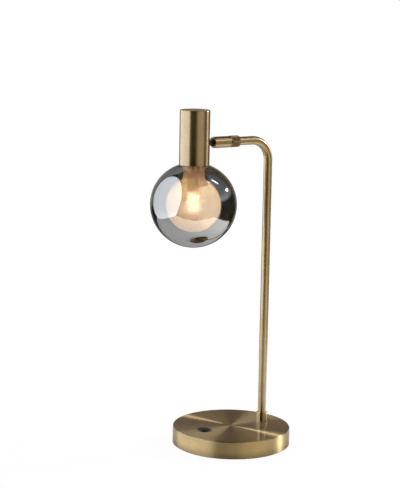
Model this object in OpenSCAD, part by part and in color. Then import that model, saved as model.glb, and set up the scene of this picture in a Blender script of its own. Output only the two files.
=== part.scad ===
// Desk lamp with a tilting globe head. A weighted round base carries a bent tube, and a ball
// swivel at the arm's end carries a cup with a smoked globe around a frosted one.
// The origin is the centre of the base's underside, +Z is up, and the arm runs towards -X.

/* [Base] */
// Diameter of the base
base_d = 168; // [150:1:220]
// Height of the base with its pad
base_h = 25.8; // [25:0.1:36]
// Wall of the spun base cover
cover_t = 1.2; // [0.8:0.1:1.6]
// Rounding of the cover's upper edge
cover_edge_r = 1.5; // [0.5:0.1:4]
// Thickness of the soft pad
pad_t = 1.5; // [1:0.1:2]
// How far the pad stays inside the cover's edge
pad_inset = 3; // [2:0.5:8]
// Thickness of the bottom plate
plate_t = 1.2; // [1:0.1:1.6]
// Gap between the weight and the cover's wall
weight_gap = 2.8; // [1:0.1:6]
// Diameter of the circle on which the plate screws lie
screw_circle_d = 124; // [110:1:130]
// Number of plate screws
screw_count = 3; // [3:1:5]
// Diameter of a weight boss
boss_d = 12; // [9:0.5:14]
// Diameter of a plate screw's shank
plate_screw_d = 4; // [3:0.5:5]

/* [Cord inlet] */
// Bore of the grommet, for a round mains lead
inlet_bore_d = 6.2; // [5:0.1:6.6]
// Rubber around the grommet's bore
inlet_wall = 0.8; // [0.6:0.1:1.2]
// How far the grommet's flanges reach past its neck
inlet_rim = 0.9; // [0.7:0.1:1.4]
// Thickness of each flange of the grommet
inlet_flange_t = 1.6; // [1:0.1:2.4]

/* [Pole and arm] */
// Outer diameter of the tube
tube_d = 12; // [11:0.1:13]
// Wall of the tube
tube_t = 1; // [0.8:0.1:1.5]
// Distance of the pole's axis from the base's edge
pole_edge = 29.4; // [24:0.1:36]
// Height of the arm's axis
arm_z = 436.3; // [380:0.1:520]
// Radius of the bend at its centreline
bend_r = 29; // [20:0.5:36]
// Distance from the pole to the axis of the cup
head_reach = 126.9; // [118:0.1:150]
// Diameter of the collar at the pole's foot
collar_d = 16.3; // [15:0.1:20]
// Height of the collar
collar_h = 12.5; // [8:0.1:20]
// Bevel of the collar's upper rim
collar_bevel = 1; // [0.4:0.1:1.5]
// Wall of the threaded nipples in the tube's two ends
nipple_t = 1.45; // [1.1:0.05:1.6]
// Length of nipple inside the tube
nipple_grip = 18; // [10:1:24]

/* [Swivel] */
// Gap between the cup and the sleeve's mouth
swivel_gap = 9; // [8:0.1:12]
// Outer diameter of the sleeve
sleeve_d = 16; // [15.6:0.1:18]
// Length of the sleeve
sleeve_l = 28.3; // [26:0.1:32]
// Length of the sleeve's threaded part
sleeve_thread_l = 10; // [7:0.5:12]
// Diameter of the lock ring
ring_d = 16.4; // [15.5:0.1:20]
// Length of the lock ring
ring_l = 14.7; // [10:0.1:16]
// Number of ridges on the lock ring
ring_ridges = 40; // [24:1:60]
// Depth of the ridges
ridge_depth = 0.5; // [0.3:0.05:0.7]
// Diameter of the ball
ball_d = 13; // [12:0.1:13.2]
// Opening of the sleeve's mouth, smaller than the ball
mouth_d = 11.6; // [11:0.1:11.8]
// Diameter of the stud's neck
neck_d = 6; // [5:0.1:6.4]
// Bore through the stud, for the lead
stud_bore_d = 4; // [3.6:0.1:4.2]
// Diameter of the stud's threaded end
stud_d = 8; // [7:0.5:9]

/* [Cup] */
// Outer diameter of the cup
cup_d = 42; // [41:0.5:50]
// Depth of the cup's rim below the arm's axis
cup_drop = 29.3; // [26:0.1:36]
// Wall of the cup
cup_t = 1.2; // [0.8:0.1:1.5]
// Height of the cup's top above the arm's axis
cup_rise = 46.3; // [36:0.1:50]
// Rounding of the cup's upper edge
cup_edge_r = 1; // [0.4:0.1:3]

/* [Lampholder] */
// Thickness of the strap that carries the lampholder
strap_t = 1.5; // [1:0.1:2]
// Width of the strap
strap_w = 14; // [12:0.5:16]
// Depth of the strap's lower face below the arm's axis
strap_drop = 14.3; // [13:0.1:16]
// Height of the ceramic body above its flange
holder_head_h = 5.4; // [4:0.1:7]
// Thickness of the lampholder's flange
holder_flange_t = 2; // [1.5:0.1:3]
// Diameter of the lampholder's threaded skirt
skirt_d = 22.8; // [22:0.1:23.4]
// Length of the threaded skirt
skirt_l = 16.6; // [14:0.1:20]
// Diameter of the ceramic nose under the skirt
nose_d = 21; // [19:0.1:22]
// Length of the ceramic nose
nose_l = 25; // [15:0.5:30]

/* [Glass] */
// Diameter of the smoked outer globe
globe_d = 120; // [116:1:140]
// Height of the outer globe above its centre, without its neck
globe_crown = 58; // [56:0.5:59]
// Wall of the outer globe
globe_t = 2; // [1.5:0.1:3]
// Diameter of the outer globe's neck
globe_neck_d = 36; // [34.5:0.1:37]
// Gap between the cup's rim and the globe's shoulder
rim_gap = 0.1; // [0.1:0.1:1]
// Diameter of the frosted inner globe
inner_d = 76.2; // [60:0.1:84]
// Depth of the inner globe's centre below the outer one's
inner_drop = 0.3; // [0:0.1:3]
// Wall of the inner globe
inner_t = 1.6; // [1.2:0.1:2]
// Diameter of the inner globe's neck
inner_neck_d = 30; // [29.8:0.1:31]
// Rounding between the inner globe and its neck
inner_fillet_r = 6; // [3:0.5:10]
// Thickness of the gasket on the glass
gasket_t = 1; // [0.8:0.1:1.5]
// Height of the shade ring
shade_ring_h = 9; // [6:0.5:12]

/* [Bulb] */
// Diameter of the bulb's capsule
bulb_d = 16; // [13:0.5:17]
// Length of the capsule
bulb_l = 32; // [26:0.5:40]
// Wall of the capsule
bulb_t = 1; // [0.8:0.1:1.5]
// Diameter of the lit core
bulb_core_d = 6.4; // [4:0.2:9]
// Distance between the two pins
pin_pitch = 9.5; // [8:0.1:10]
// Diameter of a pin
pin_d = 1; // [0.8:0.1:1.2]
// Length of a pin
pin_l = 11; // [8:0.5:13]

/* [Switch] */
// Distance of the switch's axis from the base's edge
switch_edge = 36.5; // [30:0.1:44]
// Diameter of the switch's flange
switch_flange_d = 20; // [19.5:0.1:24]
// Thickness of the switch's flange
switch_flange_t = 1.2; // [0.8:0.1:2]
// Diameter of the switch's threaded barrel
switch_barrel_d = 17.8; // [17:0.1:18]
// Wall of the barrel
switch_barrel_t = 0.8; // [0.6:0.1:1]
// Diameter of the button
button_d = 13.9; // [12:0.1:14]
// Height of the button above the cover
button_h = 3.2; // [2.8:0.1:5]
// Travel of the button
button_travel = 1.6; // [1:0.1:1.8]
// Radius of the hollow under the button, where the spring sits
button_hollow_r = 5.5; // [5.2:0.1:5.8]

/* [Leads] */
// Diameter of the lead inside the tube
lead_d = 3.6; // [3:0.1:4.4]
// Diameter of the lead inside the head
head_lead_d = 3.2; // [2.8:0.1:3.4]
// Diameter of each lead to the switch
switch_lead_d = 1.8; // [1.4:0.1:2.2]

/* [Hidden] */

$fn = 96;
// Clearances: turning fit, thread, sliding fit, and the gap between faces that turn
fit_gap = 0.05;
thread_gap = 0.05;
slide_gap = 0.15;
face_gap = 0.3;
// How far a cutting shape reaches past a face
over = 1;

// Cord inlet. The room under the weight is as high as the grommet's flanges need
inlet_neck_r = inlet_bore_d / 2 + inlet_wall;
inlet_flange_r = inlet_neck_r + inlet_rim;
cavity_h = 2 * (inlet_flange_r + slide_gap);

// Heights and radii in the base
plate_top_z = pad_t + plate_t;
cover_under_z = base_h - cover_t;
weight_z = plate_top_z + cavity_h;
weight_t = cover_under_z - weight_z;
inlet_z = plate_top_z + cavity_h / 2;
cover_inner_r = base_d / 2 - cover_t;
weight_r = cover_inner_r - weight_gap;
plate_r = cover_inner_r - face_gap;
screw_head_r = plate_screw_d / 2 + plate_t;
screw_grip = 10;

// Pole, nipples and what clamps them
pole_x = base_d / 2 - pole_edge;
tube_bore_r = tube_d / 2 - tube_t;
nipple_r = tube_bore_r - thread_gap;
nipple_bore_r = nipple_r - nipple_t;
hole_gap = 0.25;
nipple_hole_r = nipple_r + hole_gap;
washer_t = 1.6;
washer_rim = 5;
washer_r = nipple_r + washer_rim;
nut_t = 4;
nut_wall = 2.75;
nut_flats = 2 * (nipple_r + nut_wall);
nut_pocket_gap = 2;
nut_pocket_r = washer_r + nut_pocket_gap;
nut_sink = 0.4;
nut_pocket_h = washer_t + nut_t + nut_sink;
nipple_stub = 1.1;
nipple_foot_z = weight_z - nipple_stub;

// Swivel, measured along the arm
cup_x = pole_x - head_reach;
cup_r = cup_d / 2;
cup_bore_r = cup_r - cup_t;
mouth_x = cup_x + cup_r + swivel_gap;
sleeve_back_x = mouth_x + sleeve_l;
ring_front_x = sleeve_back_x + face_gap;
ring_back_x = sleeve_back_x + ring_l;
ring_cover = 2;
tube_tip_x = ring_back_x - ring_cover + face_gap;
arm_grip = 12;
ball_r = ball_d / 2;
socket_r = ball_r + fit_gap;
mouth_r = mouth_d / 2;
mouth_flare = 1;
mouth_bevel = 0.8;
// The ball sits behind the lip, where the spherical socket has closed to the mouth's radius
lip_angle = acos(mouth_r / socket_r);
ball_x = mouth_x + mouth_flare + socket_r * sin(lip_angle);
step_x = sleeve_back_x - sleeve_thread_l;
seat_front = 2.6;
seat_l = 6;
seat_bore_r = 3.5;
seat_back_x = ball_x + seat_front + seat_l;

// Stud, measured from the ball towards the cup
wall_reach = ball_x - cup_x - cup_r;
shoulder_r = 5;
shoulder_t = 2;
stud_hole_r = stud_d / 2 + 0.1;
saddle_r = 7;
strap_face = cup_bore_r - 3;
stud_washer_t = 1.2;
stud_nut_t = 5;
stud_nut_flats = stud_d + 5;
nut_face = strap_face - strap_t - stud_washer_t;
stud_tip = nut_face - stud_nut_t - 2;

// Cup and lampholder, from the arm's axis downwards
cup_top_z = arm_z + cup_rise;
cup_rim_z = arm_z - cup_drop;
cup_h = cup_top_z - cup_rim_z;
cup_rim_edge = 0.3;
strap_z = arm_z - strap_drop;
flange_top_z = strap_z - holder_head_h;
flange_z = flange_top_z - holder_flange_t;
glass_top_z = flange_z - gasket_t;
skirt_r = skirt_d / 2;
skirt_z = flange_z - skirt_l;
nose_z = skirt_z - nose_l;
holder_screw_x = 8;
holder_screw_r = 1.5;
wire_gap = 0.6;
wire_hole_r = head_lead_d / 2 + wire_gap;
wire_well = 5;

// Glass
globe_r = globe_d / 2;
globe_neck_r = globe_neck_d / 2;
inner_r = inner_d / 2;
inner_neck_r = inner_neck_d / 2;
neck_seat_z = glass_top_z - inner_t;
// The globe hangs so far down that its shoulder clears the inside of the cup's rim
shoulder_rise = globe_crown * sqrt(1 - pow((cup_bore_r + cup_rim_edge) / globe_r, 2));
globe_z = cup_rim_z - rim_gap - shoulder_rise;
inner_z = globe_z - inner_drop;
glass_hole_r = skirt_r + 0.2;

// Bulb
bulb_r = bulb_d / 2;
pocket_l = 16;
pocket_w = 9;
pocket_h = 4;
bulb_foot_t = 2;
bulb_foot_z = nose_z - face_gap - bulb_foot_t;
bulb_tip_z = bulb_foot_z - bulb_l;
bulb_base_top_z = nose_z + pocket_h - face_gap;
contact_r = pin_d / 2 + 0.55;

// Switch
switch_x = base_d / 2 - switch_edge;
barrel_r = switch_barrel_d / 2;
barrel_bore_r = barrel_r - switch_barrel_t;
barrel_h = 15.8;
barrel_foot_z = base_h - barrel_h;
switch_base_t = 3;
switch_floor_z = barrel_foot_z + switch_base_t;
button_r = button_d / 2;
button_top_z = base_h + button_h;
button_skirt_r = barrel_bore_r - slide_gap;
lip_z = cover_under_z - 1.1;
button_skirt_top_z = lip_z - face_gap;
button_foot_z = button_skirt_top_z - 3.2;
button_roof_z = button_top_z - 4;
button_dome = 0.8;
switch_nut_t = 3;
switch_nut_flats = 2 * barrel_r + 4.2;
switch_pocket_r = switch_nut_flats / sqrt(3) + 0.8;
terminal_pitch = 8;
terminal_z = 4.5;
tag_t = 0.8;

// Leads and terminal block
lead_r = lead_d / 2;
lead_bend_r = 5;
lead_run_z = plate_top_z + lead_r + 1;
block_x = 9;
block_l = 22;
block_w = 16;
block_h = 8;
switch_lead_z = plate_top_z + 3.3;
head_lead_bend_r = 6;

brass = "#a1824c";
dark_brass = "#4a3a22";
steel = "#8d8f92";
black = "#1b1a1c";
ceramic = "#e8e2d6";
copper = "#c98a4b";

// Points on an arc in the plane of a profile
function arc(centre, radius, from, to, steps) = [
    for (i = [0:steps])
        let (a = from + (to - from) * i / steps)
        [centre[0] + radius * cos(a), centre[1] + radius * sin(a)]
];

// Points on the upper quarter of a crowned globe, from the equator to the radius at_r
function crown(centre_z, wide, tall, at_r, steps) = [
    for (i = [0:steps])
        let (a = acos(at_r / wide) * i / steps)
        [wide * cos(a), centre_z + tall * sin(a)]
];

// Puts children on the arm's axis, with their own Z along +X
module along_arm(x) {
    translate([x, 0, arm_z])
        rotate([0, 90, 0])
            children();
}

// Puts children at the ball's centre, with their own Z towards the cup
module from_ball() {
    translate([ball_x, 0, arm_z])
        rotate([0, -90, 0])
            children();
}

// Puts children on the axis of the cup
module at_cup(z = 0) {
    translate([cup_x, 0, z])
        children();
}

// Puts children at each plate screw
module at_plate_screws() {
    for (i = [0:screw_count - 1])
        rotate([0, 0, 90 + i * 360 / screw_count])
            translate([screw_circle_d / 2, 0, 0])
                children();
}

// A solid of revolution with a bore right through it
module ring(outer_r, inner_r, h) {
    difference() {
        cylinder(r = outer_r, h = h);
        translate([0, 0, -over])
            cylinder(r = inner_r, h = h + 2 * over);
    }
}

// A six-sided nut
module hex_nut(flats, bore_r, h) {
    difference() {
        cylinder(d = flats / cos(30), h = h, $fn = 6);
        translate([0, 0, -over])
            cylinder(r = bore_r, h = h + 2 * over);
    }
}

// A round rod along the tube's centreline: up the pole, round the bend and along the arm.
// Both straight runs start at the bend's end faces, so that they meet it exactly
module along_tube(radius, foot_z, tip_x) {
    bend_x = pole_x - bend_r;
    bend_z = arm_z - bend_r;
    translate([pole_x, 0, bend_z])
        rotate([180, 0, 0])
            cylinder(r = radius, h = bend_z - foot_z);
    translate([bend_x, 0, bend_z])
        rotate([90, 0, 0])
            rotate_extrude(angle = 90)
                translate([bend_r, 0])
                    circle(r = radius);
    translate([bend_x, 0, arm_z])
        rotate([0, -90, 0])
            cylinder(r = radius, h = bend_x - tip_x);
}

// A coil spring around Z, as one tube swept along a helix
module coil_spring(mean_r, wire_r, h, turns) {
    sides = 6;
    rings = turns * 12;
    rise = h - 2 * wire_r;
    points = [
        for (i = [0:rings], k = [0:sides - 1])
            let (a = 360 * turns * i / rings, b = 360 * k / sides, r = mean_r + wire_r * cos(b))
            [r * cos(a), r * sin(a), wire_r + rise * i / rings + wire_r * sin(b)]
    ];
    start_cap = [[for (k = [0:sides - 1]) k]];
    end_cap = [[for (k = [0:sides - 1]) rings * sides + sides - 1 - k]];
    walls = [
        for (i = [0:rings - 1], k = [0:sides - 1], half = [0:1])
            let (a = i * sides + k, b = i * sides + (k + 1) % sides)
            half == 0 ? [a, a + sides, b] : [b, a + sides, b + sides]
    ];
    polyhedron(points = points, faces = concat(start_cap, end_cap, walls), convexity = 10);
}

module base_cover() {
    outer_r = base_d / 2;
    inner_edge_r = max(cover_edge_r - cover_t, 0.1);
    profile = concat(
        [[0, base_h]],
        arc([outer_r - cover_edge_r, base_h - cover_edge_r], cover_edge_r, 90, 0, 6),
        [[outer_r, pad_t], [cover_inner_r, pad_t]],
        arc([cover_inner_r - inner_edge_r, cover_under_z - inner_edge_r], inner_edge_r, 0, 90, 2),
        [[0, cover_under_z]]
    );
    color(brass)
        difference() {
            rotate_extrude()
                polygon(profile);
            translate([pole_x, 0, cover_under_z - over])
                cylinder(r = nipple_hole_r, h = cover_t + 2 * over);
            translate([-switch_x, 0, cover_under_z - over])
                cylinder(r = barrel_r + slide_gap, h = cover_t + 2 * over);
            translate([cover_inner_r - over, 0, inlet_z])
                rotate([0, 90, 0])
                    cylinder(r = inlet_neck_r + thread_gap, h = cover_t + 2 * over);
        }
}

module base_weight() {
    color("#3c3d40")
        difference() {
            union() {
                translate([0, 0, weight_z])
                    cylinder(r = weight_r, h = weight_t);
                at_plate_screws()
                    translate([0, 0, plate_top_z])
                        cylinder(d = boss_d, h = cavity_h + over);
            }
            at_plate_screws()
                translate([0, 0, plate_top_z - over])
                    cylinder(r = plate_screw_d / 2 + thread_gap, h = screw_grip + 2 * over);
            translate([pole_x, 0, weight_z - over])
                cylinder(r = nipple_hole_r, h = weight_t + 2 * over);
            translate([pole_x, 0, weight_z - over])
                cylinder(r = nut_pocket_r, h = nut_pocket_h + over);
            translate([-switch_x, 0, weight_z - over])
                cylinder(r = switch_pocket_r, h = weight_t + 2 * over);
        }
}

module bottom_plate() {
    color(steel)
        difference() {
            translate([0, 0, pad_t])
                cylinder(r = plate_r, h = plate_t);
            at_plate_screws()
                translate([0, 0, pad_t])
                    cylinder(r1 = screw_head_r + thread_gap, r2 = plate_screw_d / 2 + thread_gap, h = plate_t);
        }
}

module plate_screws() {
    color(steel)
        at_plate_screws() {
            translate([0, 0, pad_t])
                cylinder(r1 = screw_head_r, r2 = plate_screw_d / 2, h = plate_t);
            translate([0, 0, plate_top_z])
                cylinder(d = plate_screw_d, h = screw_grip);
        }
}

module base_pad() {
    color(black)
        cylinder(r = base_d / 2 - pad_inset, h = pad_t);
}

module cord_grommet() {
    outer_x = base_d / 2;
    inner_x = cover_inner_r - 0.4;
    color(black)
        difference() {
            union() {
                translate([inner_x - inlet_flange_t, 0, inlet_z])
                    rotate([0, 90, 0])
                        cylinder(r = inlet_flange_r, h = inlet_flange_t);
                translate([inner_x, 0, inlet_z])
                    rotate([0, 90, 0])
                        cylinder(r = inlet_neck_r, h = outer_x - inner_x);
                translate([outer_x, 0, inlet_z])
                    rotate([0, 90, 0])
                        cylinder(r = inlet_flange_r, h = inlet_flange_t);
            }
            translate([inner_x - inlet_flange_t - over, 0, inlet_z])
                rotate([0, 90, 0])
                    cylinder(d = inlet_bore_d, h = outer_x - inner_x + 2 * (inlet_flange_t + over));
        }
}

module pole_collar() {
    collar_r = collar_d / 2;
    bore_r = tube_d / 2 + fit_gap;
    profile = [
        [bore_r, 0], [collar_r, 0], [collar_r, collar_h - collar_bevel],
        [collar_r - collar_bevel, collar_h], [bore_r, collar_h]
    ];
    color(brass)
        translate([pole_x, 0, base_h])
            rotate_extrude()
                polygon(profile);
}

module pole_tube() {
    color(brass)
        difference() {
            along_tube(tube_d / 2, base_h, tube_tip_x);
            along_tube(tube_bore_r, base_h - over, tube_tip_x - over);
        }
}

module pole_nipple() {
    color(steel)
        translate([pole_x, 0, nipple_foot_z])
            ring(nipple_r, nipple_bore_r, base_h + nipple_grip - nipple_foot_z);
}

module pole_washer() {
    color(steel)
        translate([pole_x, 0, weight_z + nut_pocket_h - washer_t])
            ring(washer_r, nipple_hole_r, washer_t);
}

module pole_nut() {
    color(steel)
        translate([pole_x, 0, weight_z + nut_pocket_h - washer_t - nut_t])
            hex_nut(nut_flats, nipple_r + thread_gap, nut_t);
}

module arm_nipple() {
    color(steel)
        along_arm(step_x + over)
            ring(nipple_r, nipple_bore_r, tube_tip_x + arm_grip - step_x - over);
}

module lamp_lead() {
    tip_reach = 1.2;
    lead_tip_x = step_x - tip_reach;
    knee_x = pole_x - lead_bend_r;
    knee_z = lead_run_z + lead_bend_r;
    lap = 4;
    color("#d9d2c2") {
        along_tube(lead_r, knee_z + lap / 2, lead_tip_x);
        translate([pole_x, 0, knee_z])
            cylinder(r = lead_r, h = lap);
        translate([knee_x, 0, knee_z])
            rotate([-90, 0, 0])
                rotate_extrude(angle = 90)
                    translate([lead_bend_r, 0])
                        circle(r = lead_r);
        translate([knee_x, 0, lead_run_z])
            rotate([0, -90, 0])
                cylinder(r = lead_r, h = knee_x - block_x - block_l / 2);
    }
}

module terminal_block() {
    screw_well_r = 2;
    screw_pitch = 9;
    color("#e9e6df")
        difference() {
            translate([block_x - block_l / 2, -block_w / 2, plate_top_z])
                cube([block_l, block_w, block_h]);
            for (sx = [-1, 1], sy = [-1, 1])
                translate([block_x + sx * screw_pitch / 2, sy * block_w / 4, plate_top_z + block_h / 2])
                    cylinder(r = screw_well_r, h = block_h);
        }
}

module switch_barrel() {
    flange_r = switch_flange_d / 2;
    flange_top_z = base_h + switch_flange_t;
    edge = switch_flange_t / 3;
    profile = [
        [barrel_bore_r, barrel_foot_z], [barrel_r, barrel_foot_z], [barrel_r, base_h],
        [flange_r, base_h], [flange_r, flange_top_z - edge], [flange_r - edge, flange_top_z],
        [button_r + slide_gap, flange_top_z], [button_r + slide_gap, lip_z], [barrel_bore_r, lip_z]
    ];
    color(black)
        translate([-switch_x, 0, 0])
            rotate_extrude()
                polygon(profile);
}

module switch_nut() {
    color(steel)
        translate([-switch_x, 0, cover_under_z - switch_nut_t])
            hex_nut(switch_nut_flats, barrel_r + thread_gap, switch_nut_t);
}

module switch_base() {
    slot_l = 3.2;
    slot_w = 1;
    color("#5a3a26")
        difference() {
            translate([-switch_x, 0, barrel_foot_z])
                cylinder(r = barrel_bore_r - thread_gap, h = switch_base_t);
            for (side = [-1, 1])
                translate([-switch_x, side * terminal_pitch / 2, barrel_foot_z + switch_base_t / 2])
                    cube([slot_w, slot_l, switch_base_t + over], center = true);
        }
}

module switch_terminals() {
    tag_l = 3;
    color(copper)
        for (side = [-1, 1])
            translate([-switch_x - tag_t / 2, side * terminal_pitch / 2 - tag_l / 2, terminal_z])
                cube([tag_t, tag_l, switch_floor_z - terminal_z]);
}

module switch_spring() {
    spring_wire_r = 0.35;
    spring_mean_r = button_hollow_r - spring_wire_r - 0.3;
    color(steel)
        translate([-switch_x, 0, switch_floor_z])
            coil_spring(spring_mean_r, spring_wire_r, button_roof_z - switch_floor_z, 6);
}

module switch_leads() {
    color("#d9d2c2")
        for (side = [-1, 1])
            translate([-switch_x + tag_t / 2, side * terminal_pitch / 2, switch_lead_z])
                rotate([0, 90, 0])
                    cylinder(d = switch_lead_d, h = switch_x - tag_t / 2 + block_x - block_l / 2);
}

module switch_button() {
    // The dome is part of a circle through the button's centre and its shoulder
    dome_r = (pow(button_r, 2) + pow(button_dome, 2)) / (2 * button_dome);
    dome_angle = asin(button_r / dome_r);
    profile = concat(
        [[0, button_roof_z], [button_hollow_r, button_roof_z], [button_hollow_r, button_foot_z],
         [button_skirt_r, button_foot_z], [button_skirt_r, button_skirt_top_z],
         [button_r, button_skirt_top_z]],
        arc([0, button_top_z - dome_r], dome_r, 90 - dome_angle, 90, 6)
    );
    color(black)
        translate([-switch_x, 0, 0])
            rotate_extrude()
                polygon(profile);
}

module lock_ring() {
    ring_r = ring_d / 2;
    land_r = ring_r - ridge_depth / 2;
    land_l = 1.2;
    body_l = ring_l - face_gap;
    ridges = [
        for (i = [0:2 * ring_ridges - 1])
            let (a = 180 * i / ring_ridges, r = ring_r - ridge_depth * (i % 2))
            [r * cos(a), r * sin(a)]
    ];
    color(brass)
        along_arm(ring_front_x)
            difference() {
                union() {
                    cylinder(r = land_r, h = land_l);
                    translate([0, 0, land_l])
                        linear_extrude(body_l - 2 * land_l)
                            polygon(ridges);
                    translate([0, 0, body_l - land_l])
                        cylinder(r = land_r, h = land_l);
                }
                translate([0, 0, -over])
                    cylinder(r = nipple_r + fit_gap, h = body_l + 2 * over);
                translate([0, 0, body_l - ring_cover])
                    cylinder(r = tube_d / 2 + fit_gap, h = ring_cover + over);
            }
}

module swivel_sleeve() {
    sleeve_r = sleeve_d / 2;
    edge = 0.5;
    ball_depth = ball_x - mouth_x;
    step_depth = step_x - mouth_x;
    profile = concat(
        [[mouth_r + mouth_flare, 0], [sleeve_r - mouth_bevel, 0], [sleeve_r, mouth_bevel],
         [sleeve_r, sleeve_l - edge], [sleeve_r - edge, sleeve_l],
         [nipple_r + fit_gap, sleeve_l], [nipple_r + fit_gap, step_depth], [socket_r, step_depth]],
        arc([0, ball_depth], socket_r, 0, -lip_angle, 6)
    );
    color(brass)
        along_arm(mouth_x)
            rotate_extrude()
                polygon(profile);
}

module ball_seat() {
    front_angle = asin(seat_front / socket_r);
    back_angle = acos(seat_bore_r / socket_r);
    seat_r = socket_r - 0.1;
    profile = concat(
        arc([0, 0], socket_r, front_angle, back_angle, 6),
        [[seat_bore_r, seat_front + seat_l], [seat_r, seat_front + seat_l], [seat_r, seat_front]]
    );
    color("#efeee8")
        along_arm(ball_x)
            rotate_extrude()
                polygon(profile);
}

module seat_spring() {
    seat_wire_r = 0.45;
    color(steel)
        along_arm(seat_back_x)
            coil_spring(socket_r - seat_wire_r - 0.3, seat_wire_r, step_x - seat_back_x, 2.5);
}

module ball_stud() {
    flare_l = 3;
    stud_l = ball_x - cup_x - stud_tip;
    color(dark_brass)
        difference() {
            union() {
                from_ball()
                    sphere(r = ball_r);
                from_ball()
                    cylinder(d = neck_d, h = wall_reach);
                difference() {
                    from_ball()
                        translate([0, 0, wall_reach - shoulder_t])
                            cylinder(r = shoulder_r, h = shoulder_t + over);
                    at_cup(cup_rim_z)
                        cylinder(r = cup_r, h = cup_h);
                }
                from_ball()
                    translate([0, 0, wall_reach - shoulder_t / 2])
                        cylinder(d = stud_d, h = stud_l - wall_reach + shoulder_t / 2);
            }
            from_ball()
                translate([0, 0, -ball_r - over])
                    cylinder(d = stud_bore_d, h = stud_l + ball_r + 2 * over);
            from_ball()
                translate([0, 0, -ball_r])
                    cylinder(r1 = seat_bore_r, r2 = stud_bore_d / 2, h = flare_l);
        }
}

module saddle_washer() {
    color(steel)
        difference() {
            intersection() {
                along_arm(cup_x + strap_face)
                    cylinder(r = saddle_r, h = cup_bore_r - strap_face);
                at_cup(cup_rim_z)
                    cylinder(r = cup_bore_r - thread_gap, h = cup_h);
            }
            along_arm(cup_x + strap_face - over)
                cylinder(r = stud_hole_r, h = cup_r);
        }
}

module stud_washer() {
    color(steel)
        along_arm(cup_x + nut_face)
            ring(stud_nut_flats / 2 + 1.5, stud_hole_r, stud_washer_t);
}

module stud_nut() {
    color(steel)
        along_arm(cup_x + nut_face - stud_nut_t)
            hex_nut(stud_nut_flats, stud_d / 2 + thread_gap, stud_nut_t);
}

module cup_shell() {
    inner_edge_r = max(cup_edge_r - cup_t, 0.1);
    profile = concat(
        [[0, cup_top_z]],
        arc([cup_r - cup_edge_r, cup_top_z - cup_edge_r], cup_edge_r, 90, 0, 6),
        [[cup_r, cup_rim_z + cup_rim_edge], [cup_r - cup_rim_edge, cup_rim_z],
         [cup_bore_r + cup_rim_edge, cup_rim_z], [cup_bore_r, cup_rim_z + cup_rim_edge]],
        arc([cup_bore_r - inner_edge_r, cup_top_z - cup_t - inner_edge_r], inner_edge_r, 0, 90, 2),
        [[0, cup_top_z - cup_t]]
    );
    color(brass)
        difference() {
            at_cup()
                rotate_extrude()
                    polygon(profile);
            along_arm(cup_x + cup_bore_r - 2 * over)
                cylinder(r = stud_hole_r, h = cup_t + 4 * over);
        }
}

module holder_bracket() {
    bend = strap_t + 1;
    back_x = cup_x + strap_face;
    front_x = cup_x - holder_screw_x - 5;
    strap_top_z = arm_z + saddle_r + 2;
    profile = concat(
        [[front_x, strap_z]],
        arc([back_x - bend, strap_z + bend], bend, -90, 0, 6),
        [[back_x, strap_top_z], [back_x - strap_t, strap_top_z]],
        arc([back_x - bend, strap_z + bend], bend - strap_t, 0, -90, 6),
        [[front_x, strap_z + strap_t]]
    );
    color(steel)
        difference() {
            rotate([90, 0, 0])
                linear_extrude(strap_w, center = true)
                    polygon(profile);
            along_arm(cup_x + nut_face)
                cylinder(r = stud_hole_r, h = strap_face);
            at_cup(strap_z - over)
                cylinder(r = wire_hole_r + wire_gap, h = strap_t + 2 * over);
            for (side = [-1, 1])
                at_cup(strap_z - over)
                    translate([side * holder_screw_x, 0, 0])
                        cylinder(r = holder_screw_r + slide_gap, h = strap_t + 2 * over);
        }
}

module bracket_screws() {
    head_r = 2.8;
    head_h = 1.9;
    color(steel)
        for (side = [-1, 1])
            at_cup(flange_top_z)
                translate([side * holder_screw_x, 0, 0]) {
                    cylinder(r = holder_screw_r, h = holder_head_h + strap_t);
                    translate([0, 0, holder_head_h + strap_t])
                        cylinder(r = head_r, h = head_h);
                }
}

module lampholder() {
    head_r = holder_screw_x + 4;
    flange_r = globe_neck_r - 0.5;
    edge = 1;
    profile = [
        [0, nose_z], [nose_d / 2 - edge, nose_z], [nose_d / 2, nose_z + edge], [nose_d / 2, skirt_z],
        [skirt_r - edge / 2, skirt_z], [skirt_r, skirt_z + edge / 2], [skirt_r, flange_z],
        [flange_r, flange_z], [flange_r, flange_top_z], [head_r, flange_top_z],
        [head_r, strap_z], [0, strap_z]
    ];
    color(ceramic)
        difference() {
            at_cup()
                rotate_extrude()
                    polygon(profile);
            at_cup(nose_z + pocket_h / 2)
                cube([pocket_w, pocket_l, pocket_h + over], center = true);
            for (side = [-1, 1])
                at_cup(nose_z + over)
                    translate([0, side * pin_pitch / 2, 0])
                        cylinder(r = contact_r + thread_gap, h = pocket_h + pin_l + over);
            for (side = [-1, 1])
                at_cup(flange_top_z)
                    translate([side * holder_screw_x, 0, 0])
                        cylinder(r = holder_screw_r + thread_gap, h = holder_head_h + over);
            at_cup(strap_z - wire_well)
                cylinder(r = wire_hole_r, h = wire_well + over);
        }
}

module holder_contacts() {
    color(copper)
        for (side = [-1, 1])
            at_cup(nose_z + pocket_h + 2)
                translate([0, side * pin_pitch / 2, 0])
                    ring(contact_r, pin_d / 2 + thread_gap, pin_l - 2);
}

module glass_gasket() {
    color("#cfcac2")
        at_cup(glass_top_z)
            ring(globe_neck_r - 1, glass_hole_r + 0.2, gasket_t);
}

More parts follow.
